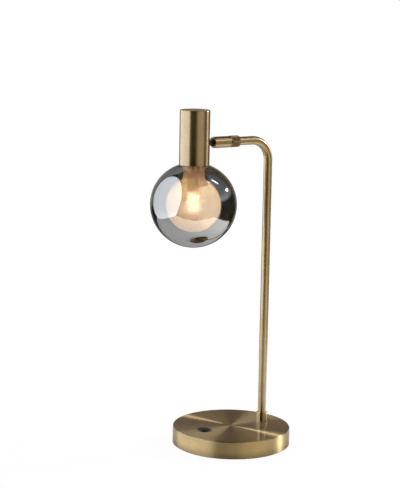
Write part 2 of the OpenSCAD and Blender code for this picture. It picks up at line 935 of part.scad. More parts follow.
module shade_ring() {
    grip_w = 3;
    grip_h = 2;
    ring_top_z = neck_seat_z;
    ring_bore_r = skirt_r + thread_gap;
    ring_outer_r = inner_neck_r - inner_t - face_gap;
    color("#7a5a3a")
        difference() {
            at_cup(ring_top_z - shade_ring_h)
                ring(ring_outer_r, ring_bore_r, shade_ring_h);
            for (a = [0, 90])
                at_cup(ring_top_z - shade_ring_h)
                    rotate([0, 0, a])
                        cube([2 * globe_neck_r, grip_w, 2 * grip_h], center = true);
        }
}

module outer_globe() {
    // Outside: lower half sphere, crowned upper half, a bevel into the neck, then the neck
    bevel = 1.6;
    waist_r = globe_neck_r + bevel;
    neck_bore_r = globe_neck_r - globe_t;
    steps = 24;
    shoulder = crown(globe_z, globe_r, globe_crown, waist_r, steps);
    lining = crown(globe_z, globe_r - globe_t, globe_crown - globe_t, neck_bore_r, steps);
    profile = concat(
        arc([0, globe_z], globe_r, -90, 0, steps),
        [for (i = [1:steps]) shoulder[i]],
        [[globe_neck_r, shoulder[steps][1] + 1.5 * bevel]],
        [[globe_neck_r, neck_seat_z], [neck_bore_r, neck_seat_z]],
        [for (i = [steps:-1:1]) lining[i]],
        arc([0, globe_z], globe_r - globe_t, 0, -90, steps)
    );
    color("#6f706c", 0.5)
        at_cup()
            rotate_extrude()
                polygon(profile);
}

module inner_globe() {
    // The neck flows into the sphere over a rounding that is tangent to both
    fillet_centre_r = inner_neck_r + inner_fillet_r;
    fillet_centre_z = inner_z + sqrt(pow(inner_r + inner_fillet_r, 2) - pow(fillet_centre_r, 2));
    fillet_angle = atan2(fillet_centre_z - inner_z, fillet_centre_r);
    steps = 24;
    sphere_steps = 36;
    neck_bore_r = inner_neck_r - inner_t;
    profile = concat(
        arc([0, inner_z], inner_r, -90, fillet_angle, sphere_steps),
        arc([fillet_centre_r, fillet_centre_z], inner_fillet_r, 180 + fillet_angle, 180, steps / 4),
        [[inner_neck_r, neck_seat_z], [globe_neck_r, neck_seat_z], [globe_neck_r, glass_top_z],
         [glass_hole_r, glass_top_z], [glass_hole_r, neck_seat_z], [neck_bore_r, neck_seat_z]],
        arc([fillet_centre_r, fillet_centre_z], inner_fillet_r + inner_t, 180, 180 + fillet_angle, steps / 4),
        arc([0, inner_z], inner_r - inner_t, fillet_angle, -90, sphere_steps)
    );
    color("#f2dcc0", 0.6)
        at_cup()
            rotate_extrude()
                polygon(profile);
}

module bulb_capsule() {
    profile = concat(
        arc([0, bulb_tip_z + bulb_r], bulb_r, -90, 0, 12),
        [[bulb_r, bulb_foot_z], [bulb_r - bulb_t, bulb_foot_z]],
        arc([0, bulb_tip_z + bulb_r], bulb_r - bulb_t, 0, -90, 12)
    );
    color("#fff3cf", 0.7)
        at_cup()
            rotate_extrude()
                polygon(profile);
}

module bulb_core() {
    foot_gap = 0.2;
    post_z = bulb_tip_z + bulb_r;
    color(ceramic)
        at_cup() {
            translate([0, 0, post_z])
                cylinder(d = bulb_core_d, h = bulb_foot_z - post_z + bulb_foot_t / 2);
            translate([0, 0, bulb_foot_z])
                cylinder(r = bulb_r, h = bulb_foot_t);
            translate([0, 0, (bulb_foot_z + bulb_base_top_z) / 2])
                cube([pocket_w - 2 * foot_gap, pocket_l - 2 * foot_gap, bulb_base_top_z - bulb_foot_z], center = true);
        }
}

module bulb_pins() {
    color(steel)
        for (side = [-1, 1])
            at_cup(bulb_base_top_z)
                translate([0, side * pin_pitch / 2, 0])
                    cylinder(d = pin_d, h = pin_l);
}

module head_lead() {
    lead_start_x = ball_x + ball_r - 1;
    bend_x = cup_x + head_lead_bend_r;
    bend_z = arm_z - head_lead_bend_r;
    lead_end_z = strap_z - wire_well + slide_gap;
    color("#d9d2c2") {
        along_arm(bend_x)
            cylinder(d = head_lead_d, h = lead_start_x - bend_x);
        translate([bend_x, 0, bend_z])
            rotate([90, 0, 0])
                rotate([0, 0, 90])
                    rotate_extrude(angle = 90)
                        translate([head_lead_bend_r, 0])
                            circle(d = head_lead_d);
        at_cup(bend_z)
            rotate([180, 0, 0])
                cylinder(d = head_lead_d, h = bend_z - lead_end_z);
    }
}

base_cover();
base_weight();
bottom_plate();
plate_screws();
base_pad();
cord_grommet();
pole_collar();
pole_tube();
pole_nipple();
pole_washer();
pole_nut();
arm_nipple();
lamp_lead();
terminal_block();
switch_barrel();
switch_nut();
switch_base();
switch_terminals();
switch_spring();
switch_leads();
switch_button();
lock_ring();
swivel_sleeve();
ball_seat();
seat_spring();
ball_stud();
saddle_washer();
stud_washer();
stud_nut();
cup_shell();
holder_bracket();
bracket_screws();
lampholder();
holder_contacts();
glass_gasket();
shade_ring();
outer_globe();
inner_globe();
bulb_capsule();
bulb_core();
bulb_pins();
head_lead();
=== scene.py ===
"""Looks of the desk lamp: antique brushed brass, smoked globe and frosted inner globe."""

import math

import bmesh
import bpy
from mathutils import Matrix, Vector


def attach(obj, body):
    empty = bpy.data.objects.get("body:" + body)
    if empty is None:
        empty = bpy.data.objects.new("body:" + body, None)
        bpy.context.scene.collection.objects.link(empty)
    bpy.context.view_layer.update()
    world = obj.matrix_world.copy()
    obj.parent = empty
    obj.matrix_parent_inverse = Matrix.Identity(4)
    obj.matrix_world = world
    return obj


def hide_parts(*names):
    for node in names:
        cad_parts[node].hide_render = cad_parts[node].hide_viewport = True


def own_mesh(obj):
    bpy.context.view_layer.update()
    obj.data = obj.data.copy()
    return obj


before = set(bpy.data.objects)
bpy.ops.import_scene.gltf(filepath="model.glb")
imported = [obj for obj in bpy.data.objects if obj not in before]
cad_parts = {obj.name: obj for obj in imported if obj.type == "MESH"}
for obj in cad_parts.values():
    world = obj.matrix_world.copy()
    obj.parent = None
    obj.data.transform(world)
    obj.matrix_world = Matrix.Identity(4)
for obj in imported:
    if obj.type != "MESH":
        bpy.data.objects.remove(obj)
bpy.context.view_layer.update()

# The photo's size in pixels, and the sensor's size along the longer side in millimetres
PHOTO_W = 400
PHOTO_H = 489
SENSOR = 36.0

# The camera, from a fit to the outlines in the photo: lengths in metres, the focal length in pixels
VIEW_AZIMUTH = math.radians(-36.0)
VIEW_DISTANCE = 2.226095
VIEW_HEIGHT = 0.675184
VIEW_YAW = math.radians(1.272)
VIEW_PITCH = math.radians(9.847)
VIEW_ROLL = math.radians(1.031)
VIEW_FOCAL = 1600.0

# Axes of the turned parts, in metres
BASE_AXIS = Vector((0.0, 0.0, 0.0))
CUP_AXIS = Vector((-0.0723, 0.0, 0.0))
ARM_AXIS = Vector((0.0, 0.0, 0.4363))
POLE_AXIS = Vector((0.0546, 0.0, 0.0))
BEND_RADIUS = 0.029
HEAD_CENTRE = Vector((-0.0723, 0.0, 0.351))


def place_camera():
    """Sets the camera where the photo was taken from."""
    away = Vector((math.sin(VIEW_AZIMUTH), -math.cos(VIEW_AZIMUTH), 0.0))
    heading = VIEW_AZIMUTH + VIEW_YAW
    forward = Vector((
        -math.sin(heading) * math.cos(VIEW_PITCH),
        math.cos(heading) * math.cos(VIEW_PITCH),
        -math.sin(VIEW_PITCH),
    ))
    right = Vector((math.cos(heading), math.sin(heading), 0.0))
    up = right.cross(forward)
    rolled_right = math.cos(VIEW_ROLL) * right + math.sin(VIEW_ROLL) * up
    rolled_up = math.cos(VIEW_ROLL) * up - math.sin(VIEW_ROLL) * right
    turn = Matrix((rolled_right, rolled_up, -forward)).transposed()
    place = away * VIEW_DISTANCE + Vector((0.0, 0.0, VIEW_HEIGHT))
    data = bpy.data.cameras.new("camera")
    data.sensor_width = SENSOR
    data.lens = VIEW_FOCAL * SENSOR / max(PHOTO_W, PHOTO_H)
    data.clip_start = 0.01
    camera = bpy.data.objects.new("camera", data)
    camera.matrix_world = Matrix.Translation(place) @ turn.to_4x4()
    bpy.context.scene.collection.objects.link(camera)
    bpy.context.scene.camera = camera


class Nodes:
    """A short way to write node trees. Colours are written without their alpha."""

    def __init__(self, tree):
        self.tree = tree

    def add(self, kind, **settings):
        node = self.tree.nodes.new(kind)
        for key, value in settings.items():
            setattr(node, key, value)
        return node

    def plug(self, value, socket):
        """Links a socket to another, or sets a number or colour on it."""
        if isinstance(value, bpy.types.NodeSocket):
            self.tree.links.new(value, socket)
        elif socket.type == "RGBA":
            socket.default_value = (*value, 1.0)
        else:
            socket.default_value = value

    def math(self, operation, a, b=0.0):
        node = self.add("ShaderNodeMath", operation=operation)
        self.plug(a, node.inputs[0])
        self.plug(b, node.inputs[1])
        return node.outputs[0]

    def product(self, *factors):
        result = factors[0]
        for factor in factors[1:]:
            result = self.math("MULTIPLY", result, factor)
        return result

    def smooth(self, value, low, high, at_low=0.0, at_high=1.0):
        """Goes smoothly from at_low to at_high as value goes from low to high."""
        node = self.add("ShaderNodeMapRange", interpolation_type="SMOOTHSTEP")
        for socket, amount in zip(node.inputs, (value, low, high, at_low, at_high)):
            self.plug(amount, socket)
        return node.outputs[0]

    def band(self, value, low, high, soft):
        """1 between low and high, 0 outside, with soft edges."""
        rise = self.smooth(value, low - soft, low + soft)
        fall = self.smooth(value, high - soft, high + soft, 1.0, 0.0)
        return self.math("MULTIPLY", rise, fall)

    def mix(self, factor, a, b):
        """Colour a where factor is 0, colour b where it is 1."""
        node = self.add("ShaderNodeMix", data_type="RGBA")
        self.plug(factor, node.inputs[0])
        self.plug(a, node.inputs[6])
        self.plug(b, node.inputs[7])
        return node.outputs[2]

    def split(self, vector):
        node = self.add("ShaderNodeSeparateXYZ")
        self.plug(vector, node.inputs[0])
        return node.outputs["X"], node.outputs["Y"], node.outputs["Z"]

    def join(self, x, y, z):
        node = self.add("ShaderNodeCombineXYZ")
        for socket, value in zip(node.inputs, (x, y, z)):
            self.plug(value, socket)
        return node.outputs[0]

    def scaled(self, colour, amount):
        node = self.add("ShaderNodeVectorMath", operation="SCALE")
        self.plug(colour, node.inputs[0])
        self.plug(amount, node.inputs["Scale"])
        return node.outputs[0]

    def object_place(self):
        return self.add("ShaderNodeTexCoord").outputs["Object"]

    def height(self):
        return self.split(self.object_place())[2]

    def to_right(self, x, y):
        """How far a place lies to the camera's right."""
        along_x = self.product(x, math.cos(VIEW_AZIMUTH))
        along_y = self.product(y, math.sin(VIEW_AZIMUTH))
        return self.math("ADD", along_x, along_y)

    def noise(self, vector, scale, detail=2.0, roughness=0.5):
        node = self.add("ShaderNodeTexNoise")
        self.plug(vector, node.inputs["Vector"])
        self.plug(scale, node.inputs["Scale"])
        self.plug(detail, node.inputs["Detail"])
        self.plug(roughness, node.inputs["Roughness"])
        return node.outputs["Fac"]

    def bump(self, height, strength, distance):
        node = self.add("ShaderNodeBump")
        self.plug(strength, node.inputs["Strength"])
        self.plug(distance, node.inputs["Distance"])
        self.plug(height, node.inputs["Height"])
        return node.outputs[0]


# The plain light that falls on matt surfaces
AMBIENT = 0.86

# The studio that glossy surfaces see round the lamp
DARK_ROOM = (0.030, 0.018, 0.006)
MID_WALL = (0.92, 0.81, 0.60)
RIGHT_WALL = (0.50, 0.51, 0.53)
BACK_WALL = (0.24, 0.19, 0.13)
BACK_LEFT = (0.60, 0.60, 0.58)
CEILING = (0.13, 0.105, 0.080)

# Where its parts lie, in degrees. Sides are angles to the camera's right of the line from the lamp to the
# camera, heights are angles above the horizon. A start or an end is a range, over which a part comes or goes.
TABLE_END = (-12.0, -4.0)
MID_WALL_START = (8.0, 34.0)
MID_WALL_END = (76.0, 82.0)
MID_WALL_HEIGHTS = (8.0, 38.0)
RIGHT_WALL_SIDES = (79.0, 137.0)
RIGHT_WALL_HEIGHTS = (9.0, 62.0)
RIGHT_WALL_FOOT = (12.0, 26.0)
RIGHT_WALL_FAR_SIDES = (108.0, 122.0)
BACK_WALL_START = (136.0, 142.0)
BACK_LEFT_SIDES = (-163.0, -133.0)
CEILING_START = (53.0, 59.0)
SOFT_SIDES = 3.0
SOFT_HEIGHTS = 4.0

# How bright parts of the two walls are, as shares of the wall's colour
MID_WALL_TOP_SHARE = 1.5
RIGHT_WALL_LOW_SHARE = 1.75
RIGHT_WALL_HIGH_SHARE = 0.85
RIGHT_WALL_FAR_SHARE = 0.75


def studio_colour(nodes):
    """A dark room with a pale wall on the right, a grey one further round, and dim walls behind."""
    direction = nodes.add("ShaderNodeTexCoord").outputs["Generated"]
    turned = nodes.add("ShaderNodeVectorRotate", rotation_type="Z_AXIS")
    nodes.plug(direction, turned.inputs["Vector"])
    nodes.plug(-VIEW_AZIMUTH, turned.inputs["Angle"])
    x, y, z = nodes.split(turned.outputs[0])
    side = nodes.math("DEGREES", nodes.math("ARCTAN2", x, nodes.math("MULTIPLY", y, -1.0)))
    height = nodes.math("DEGREES", nodes.math("ARCSINE", z))
    above_table = nodes.smooth(height, *TABLE_END)

    mid_wall = nodes.scaled(MID_WALL, nodes.smooth(height, *MID_WALL_HEIGHTS, 1.0, MID_WALL_TOP_SHARE))
    mid_come = nodes.smooth(side, *MID_WALL_START)
    mid_go = nodes.smooth(side, *MID_WALL_END, 1.0, 0.0)
    seen = nodes.mix(nodes.product(mid_come, mid_go), DARK_ROOM, mid_wall)

    back_part = nodes.smooth(nodes.math("ABSOLUTE", side), *BACK_WALL_START)
    seen = nodes.mix(nodes.product(back_part, above_table), seen, BACK_WALL)
    back_left_part = nodes.band(side, *BACK_LEFT_SIDES, SOFT_SIDES)
    seen = nodes.mix(nodes.product(back_left_part, above_table), seen, BACK_LEFT)
    seen = nodes.mix(nodes.smooth(height, *CEILING_START), seen, CEILING)

    by_height = nodes.smooth(height, *RIGHT_WALL_FOOT, RIGHT_WALL_LOW_SHARE, RIGHT_WALL_HIGH_SHARE)
    by_side = nodes.smooth(side, *RIGHT_WALL_FAR_SIDES, 1.0, RIGHT_WALL_FAR_SHARE)
    right_wall = nodes.scaled(RIGHT_WALL, nodes.product(by_height, by_side))
    right_sides = nodes.band(side, *RIGHT_WALL_SIDES, SOFT_SIDES)
    right_heights = nodes.band(height, *RIGHT_WALL_HEIGHTS, SOFT_HEIGHTS)
    return nodes.mix(nodes.product(right_sides, right_heights), seen, right_wall)


def make_world():
    """White to the camera and through glass, plain to matt surfaces, and the studio to glossy ones."""
    world = bpy.data.worlds.new("studio")
    bpy.context.scene.world = world
    world.use_nodes = True
    # The studio has no small bright spot, so it needs no map of where its light is
    world.cycles.sampling_method = "NONE"
    nodes = Nodes(world.node_tree)
    world.node_tree.nodes.clear()
    path = nodes.add("ShaderNodeLightPath")
    open_view = nodes.math("MAXIMUM", path.outputs["Is Camera Ray"], path.outputs["Is Transmission Ray"])
    colour = nodes.mix(path.outputs["Is Glossy Ray"], (AMBIENT, AMBIENT, AMBIENT), studio_colour(nodes))
    colour = nodes.mix(open_view, colour, (1.0, 1.0, 1.0))
    background = nodes.add("ShaderNodeBackground")
    nodes.plug(colour, background.inputs["Color"])
    output = nodes.add("ShaderNodeOutputWorld")
    nodes.plug(background.outputs[0], output.inputs["Surface"])


def add_light(name, side, height, distance, width, tall, brightness, tint=(1.0, 1.0, 1.0), round_face=False):
    """A light that faces the head, at an angle to the camera's right and above the horizon, in degrees."""
    across = math.radians(side)
    above = math.radians(height)
    level = math.cos(above)
    towards = Vector((math.sin(across) * level, -math.cos(across) * level, math.sin(above)))
    towards.rotate(Matrix.Rotation(VIEW_AZIMUTH, 3, "Z"))
    data = bpy.data.lights.new(name, "AREA")
    data.shape = "ELLIPSE" if round_face else "RECTANGLE"
    data.color = tint
    data.size = width
    data.size_y = tall
    area = width * tall * (math.pi / 4 if round_face else 1.0)
    data.energy = brightness * math.pi * area
    lamp = bpy.data.objects.new(name, data)
    lamp.location = HEAD_CENTRE + towards * distance
    lamp.rotation_euler = (-towards).to_track_quat("-Z", "Y").to_euler()
    lamp.visible_camera = False
    lamp.visible_diffuse = not round_face
    bpy.context.scene.collection.objects.link(lamp)


def make_lights():
    """A round soft light near the lamp's left, and three small lamps far to its right."""
    add_light(
        "softbox_left", side=-83.0, height=12.0, distance=0.88, width=2.02, tall=2.02,
        brightness=2.7, tint=(0.95, 1.0, 1.07), round_face=True,
    )
    add_light("lamp_low", side=119.6, height=20.2, distance=2.77, width=0.14, tall=0.14, brightness=720.0)
    add_light("lamp_high", side=105.5, height=48.0, distance=2.72, width=0.13, tall=0.62, brightness=10.0)
    add_light("lamp_far", side=81.0, height=59.0, distance=2.70, width=0.06, tall=0.30, brightness=5.0)


# Corners of the table top, to the camera's right and away from the camera, as the globe mirrors them
TABLE = [(-0.68, -0.68), (0.64, -0.48), (0.56, 0.42), (-0.784, 0.40)]
TABLE_WHITE = (0.86, 0.86, 0.86)

# The share of plain white in the table as the camera sees it, which leaves the object's shadow
CAMERA_WHITE = 0.955

# Painted light on the table that only glossy surfaces see: dim up to one place, full from another
TABLE_PAINTED_LIGHT = 0.85
TABLE_DIM_SHARE = 0.14
TABLE_DIM_TO_FULL = (-0.25, 0.6)


def floor_material():
    """Matt white, plain white to the camera, and painted light for glossy surfaces, brighter to the right."""
    material = bpy.data.materials.new("floor_white")
    material.use_nodes = True
    material.node_tree.nodes.clear()
    nodes = Nodes(material.node_tree)
    path = nodes.add("ShaderNodeLightPath")
    matt = nodes.add("ShaderNodeBsdfDiffuse")
    nodes.plug(TABLE_WHITE, matt.inputs["Color"])
    white = nodes.add("ShaderNodeEmission")
    nodes.plug((1.0, 1.0, 1.0), white.inputs["Color"])
    seen = nodes.add("ShaderNodeMixShader")
    nodes.plug(nodes.product(path.outputs["Is Camera Ray"], CAMERA_WHITE), seen.inputs[0])
    nodes.plug(matt.outputs[0], seen.inputs[1])
    nodes.plug(white.outputs[0], seen.inputs[2])
    x, y, z = nodes.split(nodes.object_place())
    share = nodes.smooth(nodes.to_right(x, y), *TABLE_DIM_TO_FULL, TABLE_DIM_SHARE, 1.0)
    # Painted light: glossy surfaces see the table brighter to the right
    painted_light_in_mirrors = nodes.add("ShaderNodeEmission")
    nodes.plug(nodes.product(share, path.outputs["Is Glossy Ray"], TABLE_PAINTED_LIGHT), painted_light_in_mirrors.inputs["Strength"])
    both = nodes.add("ShaderNodeAddShader")
    nodes.plug(seen.outputs[0], both.inputs[0])
    nodes.plug(painted_light_in_mirrors.outputs[0], both.inputs[1])
    output = nodes.add("ShaderNodeOutputMaterial")
    nodes.plug(both.outputs[0], output.inputs["Surface"])
    return material


def make_floor():
    """The table top, just under the lamp."""
    towards = Matrix.Rotation(VIEW_AZIMUTH, 3, "Z")
    places = [towards @ Vector((x, y, 0.0)) for x, y in TABLE]
    mesh = bpy.data.meshes.new("floor")
    mesh.from_pydata([tuple(place) for place in places], [], [(0, 1, 2, 3)])
    mesh.materials.append(floor_material())
    floor = bpy.data.objects.new("floor", mesh)
    floor.location.z = -0.0002
    bpy.context.scene.collection.objects.link(floor)


def new_material(name):
    """A material with a Principled shader, and the node helper for it."""
    material = bpy.data.materials.new(name)
    material.use_nodes = True
    nodes = Nodes(material.node_tree)
    shader = material.node_tree.nodes["Principled BSDF"]
    return material, nodes, shader


def rings_round(nodes, centre, axis):
    """Places for a noise that runs in rings round an axis, and the tangent round that axis."""
    offset = nodes.add("ShaderNodeVectorMath", operation="SUBTRACT")
    nodes.plug(nodes.object_place(), offset.inputs[0])
    nodes.plug(tuple(centre), offset.inputs[1])
    x, y, z = nodes.split(offset.outputs[0])
    across, over, along = (x, y, z) if axis == "Z" else (y, z, x)
    squares = nodes.math("ADD", nodes.product(across, across), nodes.product(over, over))
    radius = nodes.math("SQRT", squares)
    angle = nodes.math("ARCTAN2", over, across)
    tangent = nodes.add("ShaderNodeTangent", direction_type="RADIAL", axis=axis)
    # The noise changes slowly along a ring and fast across the rings
    along_ring = nodes.math("MULTIPLY", angle, 0.0012)
    return nodes.join(radius, along_ring, along), tangent.outputs[0]


def rings_along_tube(nodes):
    """Places for a noise that runs in rings round the bent tube, and the tangent along the tube."""
    bend_x = POLE_AXIS.x - BEND_RADIUS
    bend_z = ARM_AXIS.z - BEND_RADIUS
    x, y, z = nodes.split(nodes.object_place())
    past_x = nodes.math("MAXIMUM", nodes.math("SUBTRACT", x, bend_x), 0.0)
    past_z = nodes.math("MAXIMUM", nodes.math("SUBTRACT", z, bend_z), 0.0)
    straight = nodes.math("SUBTRACT", nodes.math("MINIMUM", z, bend_z), nodes.math("MINIMUM", x, bend_x))
    bent = nodes.math("MULTIPLY", nodes.math("ARCTAN2", past_z, past_x), BEND_RADIUS)
    along = nodes.math("ADD", straight, bent)
    tangent = nodes.join(nodes.math("MULTIPLY", past_z, -1.0), 0.0, past_x)
    along_ring = nodes.math("MULTIPLY", y, 0.05)
    return nodes.join(along, along_ring, 0.0), tangent


# The metal's colours: its own, a darker one for the lock ring, a lighter copy for the base's side that is
# painted light, and a near-black one for the ball stud that is partly painted shade
BRASS = (0.34, 0.245, 0.118)
# A lighter copy of the brass for the base's side: painted light, which brightens the reflections on it
PAINTED_LIGHT_SIDE_BRASS = (0.51, 0.375, 0.185)
RING_BRASS = (0.20, 0.13, 0.07)
# Near-black for the ball stud: partly its dark finish, partly painted shade of the gap between the cup and
# the sleeve
DARK_BRASS_AND_PAINTED_SHADE = (0.05, 0.036, 0.022)

# The height at which the base's side meets its top, and the painted shade that darkens the side towards its
# foot, next to the table
BASE_EDGE = 0.0243
BASE_EDGE_SOFT = 0.0004
FOOT_PAINTED_SHADE_HEIGHTS = (0.001, 0.014)
FOOT_PAINTED_SHADE_SHARE = 0.62


def brushed_metal(
    name, rings, colour, roughness, anisotropic, turn=0.25, coat=0.8, coat_roughness=0.08, side=None,
):
    """Metal brushed in rings: fine lines in the surface, and highlights spread across them.

    The side is the roughness and the colour of the base's side, which has no coat. Its colour is lighter
    than the top's, which is painted light, and it gets painted shade towards its foot. It is given for the
    base alone, and the other values are then those of its top.
    """
    material, nodes, shader = new_material(name)
    place, tangent = rings(nodes)
    fine = nodes.noise(place, 5200.0, 3.0, 0.6)
    coarse = nodes.noise(place, 900.0, 2.0, 0.5)
    cloud = nodes.noise(nodes.object_place(), 45.0, 3.0)
    shade = nodes.product(
        nodes.smooth(cloud, 0.3, 0.7, 0.93, 1.05),
        nodes.smooth(fine, 0.3, 0.7, 0.92, 1.06),
        nodes.smooth(coarse, 0.3, 0.7, 0.94, 1.04),
    )
    if side:
        side_roughness, side_painted_colour = side
        z = nodes.height()
        edge = (BASE_EDGE - BASE_EDGE_SOFT, BASE_EDGE + BASE_EDGE_SOFT)
        on_top = nodes.smooth(z, *edge)
        roughness = nodes.smooth(z, *edge, side_roughness, roughness)
        # The side's lighter colour is painted light
        colour = nodes.mix(on_top, side_painted_colour, colour)
        coat = nodes.product(on_top, coat)
        # Painted shade: the side gets darker towards its foot, next to the table
        shade = nodes.product(shade, nodes.smooth(z, *FOOT_PAINTED_SHADE_HEIGHTS, FOOT_PAINTED_SHADE_SHARE, 1.0))
    nodes.plug(nodes.scaled(colour, shade), shader.inputs["Base Color"])
    nodes.plug(1.0, shader.inputs["Metallic"])
    grained = nodes.math("ADD", roughness, nodes.smooth(fine, 0.25, 0.75, -0.04, 0.04))
    nodes.plug(grained, shader.inputs["Roughness"])
    nodes.plug(anisotropic, shader.inputs["Anisotropic"])
    nodes.plug(turn, shader.inputs["Anisotropic Rotation"])
    nodes.plug(tangent, shader.inputs["Tangent"])
    nodes.plug(nodes.bump(fine, 0.3, 0.00002), shader.inputs["Normal"])
    nodes.plug(coat, shader.inputs["Coat Weight"])
    nodes.plug(coat_roughness, shader.inputs["Coat Roughness"])
    return material


def plain_metal(name, colour, roughness):
    """Metal with a fine even grain and slight clouding."""
    material, nodes, shader = new_material(name)
    cloud = nodes.noise(nodes.object_place(), 60.0, 3.0)
    grain = nodes.noise(nodes.object_place(), 2600.0, 2.0)
    nodes.plug(nodes.scaled(colour, nodes.smooth(cloud, 0.3, 0.7, 0.9, 1.06)), shader.inputs["Base Color"])
    nodes.plug(1.0, shader.inputs["Metallic"])
    nodes.plug(nodes.smooth(grain, 0.3, 0.7, roughness - 0.04, roughness + 0.06), shader.inputs["Roughness"])
    nodes.plug(nodes.bump(grain, 0.25, 0.00002), shader.inputs["Normal"])
    return material


def moulded(name, colour, roughness):
    """Plastic, rubber or ceramic with a fine moulded grain."""
    material, nodes, shader = new_material(name)
    cloud = nodes.noise(nodes.object_place(), 80.0, 2.0)
    grain = nodes.noise(nodes.object_place(), 900.0, 2.0)
    nodes.plug(nodes.scaled(colour, nodes.smooth(cloud, 0.3, 0.7, 0.9, 1.08)), shader.inputs["Base Color"])
    nodes.plug(nodes.smooth(grain, 0.3, 0.7, roughness - 0.05, roughness + 0.05), shader.inputs["Roughness"])
    nodes.plug(nodes.bump(grain, 0.3, 0.00003), shader.inputs["Normal"])
    return material


def smoked_glass():
    """Smoked glass with a mirror film: it mirrors the room and lets little through but the lit globe."""
    low_film = (0.38, 0.38, 0.375)
    high_film = (0.28, 0.28, 0.275)
    film_heights = (0.325, 0.355)
    material, nodes, shader = new_material("smoked_glass")
    film = nodes.mix(nodes.smooth(nodes.height(), *film_heights), low_film, high_film)
    nodes.plug(film, shader.inputs["Base Color"])
    nodes.plug(1.0, shader.inputs["Metallic"])
    nodes.plug((0.6, 0.6, 0.58), shader.inputs["Specular Tint"])
    nodes.plug(0.03, shader.inputs["Roughness"])
    nodes.plug(0.70, shader.inputs["Alpha"])
    return material


def painted_glow_colour(nodes, z, to_right):
    """The painted glow's colour: warm at the globe's foot, pale round the bulb, warmer on the left above it,
    and dim in the neck, where painted shade stands for the lampholder's shadow.
    """
    foot = (0.88, 0.58, 0.28)
    middle = (0.88, 0.71, 0.56)
    upper_left = (1.12, 0.72, 0.32)
    upper_right = (0.76, 0.57, 0.36)
    # Painted shade in the neck, for the lampholder's shadow
    neck = (0.36, 0.18, 0.10)
    foot_to_middle = (0.324, 0.350)
    middle_to_upper = (0.350, 0.368)
    upper_to_neck = (0.374, 0.398)
    left_to_right = (0.004, 0.018)
    lower = nodes.mix(nodes.smooth(z, *foot_to_middle), foot, middle)
    upper = nodes.mix(nodes.smooth(to_right, *left_to_right), upper_left, upper_right)
    glow = nodes.mix(nodes.smooth(z, *middle_to_upper), lower, upper)
    return nodes.mix(nodes.smooth(z, *upper_to_neck), glow, neck)


def painted_glow_strength(nodes, turn, z, to_right):
    """The painted glow's strength: painted shade at the globe's foot and on the side of the soft light,
    and painted upright streaks of light in the neck.
    """
    full = 1.6
    foot_heights = (0.308, 0.338)
    foot_painted_shade_share = 0.40
    neck_start = (0.366, 0.380)
    light_side = (-0.030, -0.014)
    light_side_heights = (0.334, 0.342)
    light_side_painted_shade = 0.5
    # Painted shade at the globe's foot
    foot = nodes.smooth(z, *foot_heights, foot_painted_shade_share, 1.0)
    # Painted upright streaks of light in the neck
    # The noise changes fast round the axis and slowly along it, which makes upright streaks
    place = nodes.join(nodes.product(turn, 0.015), nodes.product(z, 0.12), 0.0)
    painted_streaks = nodes.smooth(nodes.noise(place, 380.0, 2.0), 0.38, 0.62, 0.45, 1.55)
    in_neck = nodes.smooth(z, *neck_start)
    streaked = nodes.math("ADD", 1.0, nodes.product(nodes.math("SUBTRACT", painted_streaks, 1.0), in_neck))
    # Painted shade on the side of the soft light
    by_side = nodes.smooth(to_right, *light_side, light_side_painted_shade, 0.0)
    by_height = nodes.smooth(z, *light_side_heights)
    after_painted_shade = nodes.math("SUBTRACT", 1.0, nodes.product(by_side, by_height))
    return nodes.product(foot, streaked, after_painted_shade, full)


def frosted_glass():
    """Acid-frosted glass, rough enough to blur the bulb behind it, lit from inside in part by the bulb and
    glowing with painted light.
    """
    material, nodes, shader = new_material("frosted_glass")
    x, y, z = nodes.split(nodes.object_place())
    from_axis = nodes.math("SUBTRACT", x, CUP_AXIS.x)
    turn = nodes.math("ARCTAN2", y, from_axis)
    to_right = nodes.to_right(from_axis, y)
    nodes.plug((0.95, 0.86, 0.74), shader.inputs["Base Color"])
    nodes.plug(0.42, shader.inputs["Roughness"])
    nodes.plug(0.75, shader.inputs["Transmission Weight"])
    nodes.plug(1.4, shader.inputs["IOR"])
    # Painted light: the glow's colour and strength are set over the globe's height and across it
    nodes.plug(painted_glow_colour(nodes, z, to_right), shader.inputs["Emission Color"])
    nodes.plug(painted_glow_strength(nodes, turn, z, to_right), shader.inputs["Emission Strength"])
    return material


def bulb_glass():
    """The lit capsule, brightest half way down."""
    hot_heights = (0.343, 0.366)
    soft = 0.004
    dim = 2.0
    hottest = 95.0
    material, nodes, shader = new_material("bulb_glass")
    hot = nodes.band(nodes.height(), *hot_heights, soft)
    nodes.plug((1.0, 0.9, 0.7), shader.inputs["Base Color"])
    nodes.plug(0.3, shader.inputs["Roughness"])
    nodes.plug((1.0, 0.80, 0.64), shader.inputs["Emission Color"])
    nodes.plug(nodes.math("ADD", dim, nodes.product(hot, hottest)), shader.inputs["Emission Strength"])
    return material


def arc(centre, wide, tall, start, stop, steps):
    """Points on an ellipse about a centre of radius and height, from one angle to another in degrees."""
    angles = [math.radians(start + (stop - start) * i / steps) for i in range(steps + 1)]
    return [(centre[0] + wide * math.cos(a), centre[1] + tall * math.sin(a)) for a in angles]


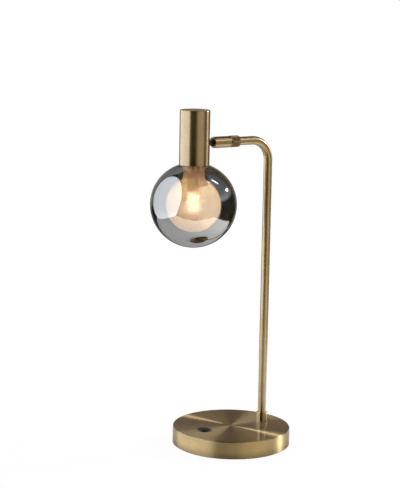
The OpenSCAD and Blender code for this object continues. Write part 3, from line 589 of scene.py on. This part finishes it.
def outer_globe_profile():
    """A lower half sphere and a crowned upper half with a bevelled neck, outside and then inside."""
    centre = (0.0, 0.35225)
    wide, crown, wall = 0.060, 0.058, 0.002
    neck, bevel, rim = 0.018, 0.0016, 0.412
    low_steps, crown_steps = 48, 40
    shoulder_end = math.degrees(math.acos((neck + bevel) / wide))
    lining_end = math.degrees(math.acos((neck - wall) / (wide - wall)))
    shoulder = arc(centre, wide, crown, 0.0, shoulder_end, crown_steps)
    outside = arc(centre, wide, wide, -90.0, 0.0, low_steps)[:-1] + shoulder
    outside += [(neck, shoulder[-1][1] + 1.5 * bevel), (neck, rim)]
    inside = arc(centre, wide - wall, crown - wall, lining_end, 0.0, crown_steps)[:-1]
    inside += arc(centre, wide - wall, wide - wall, 0.0, -90.0, low_steps)
    return outside + [(neck - wall, rim)] + inside


def inner_globe_profile():
    """A sphere that flows into its neck over a rounding, and the flange by which it hangs."""
    centre = (0.0, 0.35195)
    radius, neck, fillet, wall = 0.0381, 0.015, 0.006, 0.0016
    flange, hole, low, top = 0.018, 0.0116, 0.412, 0.4136
    ball_steps, fillet_steps = 72, 12
    rise = math.sqrt((radius + fillet) ** 2 - (neck + fillet) ** 2)
    rounding = (neck + fillet, centre[1] + rise)
    meet = math.degrees(math.atan2(rise, neck + fillet))
    outside = arc(centre, radius, radius, -90.0, meet, ball_steps)
    outside += arc(rounding, fillet, fillet, 180.0 + meet, 180.0, fillet_steps)[1:]
    rim = [(neck, low), (flange, low), (flange, top), (hole, top), (hole, low), (neck - wall, low)]
    inside = arc(rounding, fillet + wall, fillet + wall, 180.0, 180.0 + meet, fillet_steps)
    inside += arc(centre, radius - wall, radius - wall, meet, -90.0, ball_steps)[1:]
    return outside + rim + inside


def bulb_profile():
    """A capsule with a round tip, open at its foot."""
    centre = (0.0, 0.3467)
    radius, wall, foot = 0.008, 0.001, 0.3707
    inner = radius - wall
    steps = 24
    outside = arc(centre, radius, radius, -90.0, 0.0, steps)
    inside = arc(centre, inner, inner, 0.0, -90.0, steps)
    return outside + [(radius, foot), (inner, foot)] + inside


# The angle from which an edge of a turned piece shows as a corner
SHARP_ANGLE = math.radians(28.0)


def turned_piece(name, profile, node, material, segments=192):
    """A closed piece turned about the cup's axis, in place of a node: smooth but for its sharp corners."""
    build = bmesh.new()
    turns = [2 * math.pi * i / segments for i in range(segments)]
    rings = []
    for radius, height in profile:
        on_axis = radius < 1e-6
        places = [
            (CUP_AXIS.x + radius * math.cos(t), CUP_AXIS.y + radius * math.sin(t), height)
            for t in turns[:1 if on_axis else segments]
        ]
        rings.append([build.verts.new(place) for place in places])
    for lower, upper in zip(rings, rings[1:]):
        for i in range(segments):
            j = (i + 1) % segments
            below = [lower[i % len(lower)], lower[j % len(lower)]]
            above = [upper[j % len(upper)], upper[i % len(upper)]]
            # A ring of one point on the axis gives each face a corner less
            build.faces.new(list(dict.fromkeys(below + above)))
    bmesh.ops.recalc_face_normals(build, faces=build.faces)
    mesh = bpy.data.meshes.new(name)
    build.to_mesh(mesh)
    build.free()
    mesh.shade_smooth()
    mesh.set_sharp_from_angle(angle=SHARP_ANGLE)
    mesh.materials.append(material)
    piece = bpy.data.objects.new(name, mesh)
    bpy.context.scene.collection.objects.link(piece)
    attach(piece, "head")
    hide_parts(node)


def make_glass():
    """The two globes and the bulb, turned finer than their nodes. Returns each node's material."""
    smoked = smoked_glass()
    frosted = frosted_glass()
    lit = bulb_glass()
    turned_piece("globe_smoked", outer_globe_profile(), "outer_globe", smoked)
    turned_piece("globe_frosted", inner_globe_profile(), "inner_globe", frosted)
    turned_piece("bulb_lit", bulb_profile(), "bulb_capsule", lit, segments=64)
    return {"outer_globe": smoked, "inner_globe": frosted, "bulb_capsule": lit}


def make_return_spring():
    """The spring under the button, which shortens by the button's travel in use; here a copy of its node on
    the stand, which keeps its shape.
    """
    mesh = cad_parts["switch_spring"].data.copy()
    piece = bpy.data.objects.new("return_spring", mesh)
    bpy.context.scene.collection.objects.link(piece)
    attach(piece, "stand")
    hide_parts("switch_spring")
    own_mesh(piece)


def brass_materials():
    """The brushed brass of each turned part, with its rings round that part's axis."""
    # The base's top and the cup take darker copies of the brass: painted shade on one metal
    base = brushed_metal(
        "brass_base", lambda nodes: rings_round(nodes, BASE_AXIS, "Z"), Vector(BRASS) * 0.85, 0.42, 1.0,
        coat=1.0, coat_roughness=0.03, side=(0.50, PAINTED_LIGHT_SIDE_BRASS),
    )
    cup = brushed_metal(
        "brass_cup", lambda nodes: rings_round(nodes, CUP_AXIS, "Z"), Vector(BRASS) * 0.84, 0.37, 0.88,
        coat=1.0,
    )
    collar = brushed_metal("brass_collar", lambda nodes: rings_round(nodes, POLE_AXIS, "Z"), BRASS, 0.30, 1.0)
    sleeve = brushed_metal(
        "brass_arm", lambda nodes: rings_round(nodes, ARM_AXIS, "X"), BRASS, 0.36, 0.9, coat=0.5,
    )
    ring = brushed_metal(
        "brass_ring", lambda nodes: rings_round(nodes, ARM_AXIS, "X"), RING_BRASS, 0.34, 0.8, coat=0.3,
    )
    tube = brushed_metal("brass_tube", rings_along_tube, BRASS, 0.33, 0.9, turn=0.0)
    return {
        "base_cover": base, "cup_shell": cup, "pole_collar": collar,
        "swivel_sleeve": sleeve, "lock_ring": ring, "pole_tube": tube,
    }


def dress_nodes(glass):
    """Gives each CAD node its material: steel, unless it is named here."""
    steel = plain_metal("zinc_steel", (0.62, 0.62, 0.60), 0.35)
    iron = plain_metal("cast_iron", (0.16, 0.16, 0.17), 0.6)
    copper = plain_metal("copper_alloy", (0.62, 0.40, 0.20), 0.3)
    rubber = moulded("pad_rubber", (0.025, 0.025, 0.025), 0.7)
    silicone = moulded("silicone", (0.60, 0.58, 0.55), 0.4)
    sheath = moulded("lead_sheath", (0.72, 0.66, 0.55), 0.4)
    white = moulded("white_plastic", (0.82, 0.80, 0.76), 0.35)
    black = moulded("black_plastic", (0.012, 0.012, 0.015), 0.25)
    brown = moulded("brown_plastic", (0.20, 0.11, 0.06), 0.4)
    ceramic = moulded("ceramic", (0.80, 0.76, 0.68), 0.25)
    wear = {
        "ball_stud": plain_metal("dark_brass", DARK_BRASS_AND_PAINTED_SHADE, 0.3), "base_weight": iron,
        "base_pad": rubber, "cord_grommet": rubber, "glass_gasket": silicone,
        "terminal_block": white, "ball_seat": white, "switch_barrel": black, "switch_button": black,
        "switch_base": brown, "shade_ring": brown, "lampholder": ceramic, "bulb_core": ceramic,
    }
    wear.update(glass)
    wear.update(brass_materials())
    wear.update({name: sheath for name in ("lamp_lead", "switch_leads", "head_lead")})
    wear.update({name: copper for name in ("switch_terminals", "holder_contacts")})
    for name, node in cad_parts.items():
        node.data.materials.clear()
        node.data.materials.append(wear.get(name, steel))


place_camera()
make_world()
make_lights()
make_floor()
dress_nodes(make_glass())
make_return_spring()

bpy.context.scene.view_settings.view_transform = "Standard"
